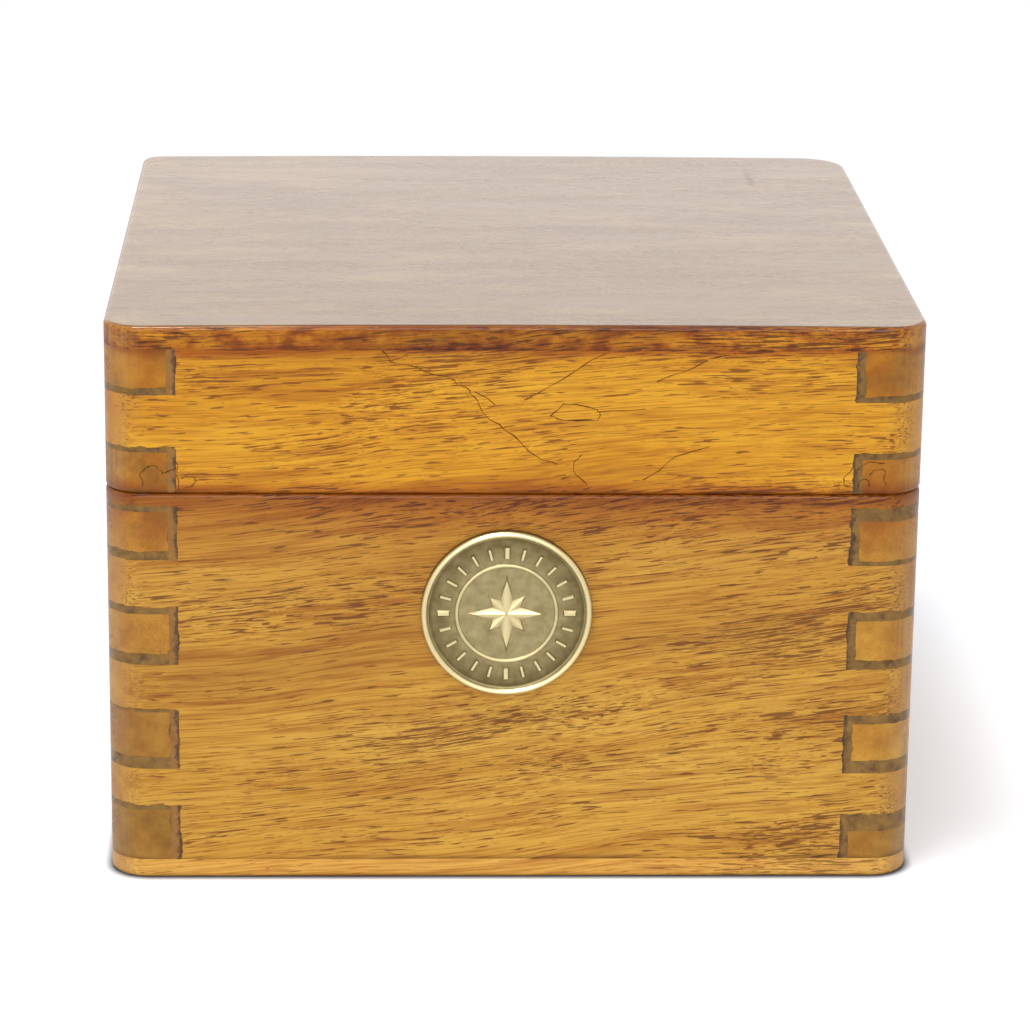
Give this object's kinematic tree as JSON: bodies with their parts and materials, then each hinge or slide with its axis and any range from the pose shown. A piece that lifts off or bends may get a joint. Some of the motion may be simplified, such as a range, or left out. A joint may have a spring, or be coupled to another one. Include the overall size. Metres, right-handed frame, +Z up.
{
  "type": "compass box",
  "caption": "Square wooden box with comb-jointed corners, a hinged lid and a round front medallion, holding a weighted compass bowl hung in a gimbal ring.",
  "frame": {"origin": "middle of the underside, on the surface that the box stands on", "axes": "+Z up, -Y the front with the medallion, +X to the right seen from the front"},
  "size_m": [0.15, 0.1518, 0.1068],
  "materials": {
    "base_cross_wood": "gloss varnish, grain along the width",
    "base_side_wood": "gloss varnish, grain along the depth",
    "base_bottom_wood": "gloss varnish on the edges, bare below",
    "lid_cross_wood": "gloss varnish, grain along the width",
    "lid_side_wood": "gloss varnish, grain along the depth",
    "lid_top_wood": "high gloss varnish",
    "wood_filler": "filled and varnished",
    "medallion_brass": "aged, rubbed bright on the relief",
    "hinge_brass": "worn satin",
    "screw_brass": "satin",
    "bracket_brass": "polished, lacquered",
    "gimbal_brass": "polished, lacquered",
    "bowl_brass": "turned, lacquered",
    "bezel_brass": "polished, lacquered",
    "cap_brass": "polished",
    "pedestal_brass": "satin",
    "pivot_steel": "hardened, polished point",
    "magnet_steel": "blued",
    "card_face": "ivory enamel, printed",
    "lubber_black": "matte black",
    "bowl_glass": "clear",
    "gasket_rubber": "matte",
    "weight_iron": "painted grey"
  },
  "bodies": {
    "base": {"base_bottom_board": "base_bottom_wood", "base_front_board": "base_cross_wood", "base_back_board": "base_cross_wood", "base_left_board": "base_side_wood", "base_right_board": "base_side_wood", "base_joint_filler": "wood_filler", "front_medallion": "medallion_brass", "left_hinge_base_leaf": "hinge_brass", "right_hinge_base_leaf": "hinge_brass", "left_hinge_pin": "pivot_steel", "right_hinge_pin": "pivot_steel", "base_hinge_screws": "screw_brass", "left_gimbal_bracket": "bracket_brass", "right_gimbal_bracket": "bracket_brass", "gimbal_bracket_screws": "screw_brass"},
    "lid": {"lid_top_board": "lid_top_wood", "lid_front_board": "lid_cross_wood", "lid_back_board": "lid_cross_wood", "lid_left_board": "lid_side_wood", "lid_right_board": "lid_side_wood", "lid_joint_filler": "wood_filler", "left_hinge_lid_leaf": "hinge_brass", "right_hinge_lid_leaf": "hinge_brass", "lid_hinge_screws": "screw_brass"},
    "gimbal_ring": {"gimbal_ring": "gimbal_brass", "gimbal_ring_pivots": "pivot_steel"},
    "bowl": {"compass_bowl": "bowl_brass", "bowl_bezel": "bezel_brass", "bezel_screws": "screw_brass", "bowl_glass": "bowl_glass", "glass_gasket": "gasket_rubber", "bowl_weight": "weight_iron", "weight_screw": "pivot_steel", "card_pedestal": "pedestal_brass", "pivot_needle": "pivot_steel", "bowl_pivot_screws": "pivot_steel", "lubber_line": "lubber_black"},
    "card": {"compass_card": "card_face", "card_cap": "cap_brass", "card_magnets": "magnet_steel"}
  },
  "joints": [
    {"name": "lid_hinge", "type": "hinge", "parent": "base", "child": "lid", "pos_m": [0, 0.0724, 0.075], "axis": [-1, 0, 0], "range_deg": [0, 100]},
    {"name": "ring_tilt", "type": "hinge", "parent": "base", "child": "gimbal_ring", "pos_m": [0, 0, 0.056], "axis": [1, 0, 0], "range_deg": [-45, 45]},
    {"name": "bowl_tilt", "type": "hinge", "parent": "gimbal_ring", "child": "bowl", "pos_m": [0, 0, 0.056], "axis": [0, 1, 0], "range_deg": [-45, 45]},
    {"name": "card_spin", "type": "hinge", "parent": "bowl", "child": "card", "pos_m": [0, 0, 0.053], "axis": [0, 0, 1], "continuous": true}
  ]
}
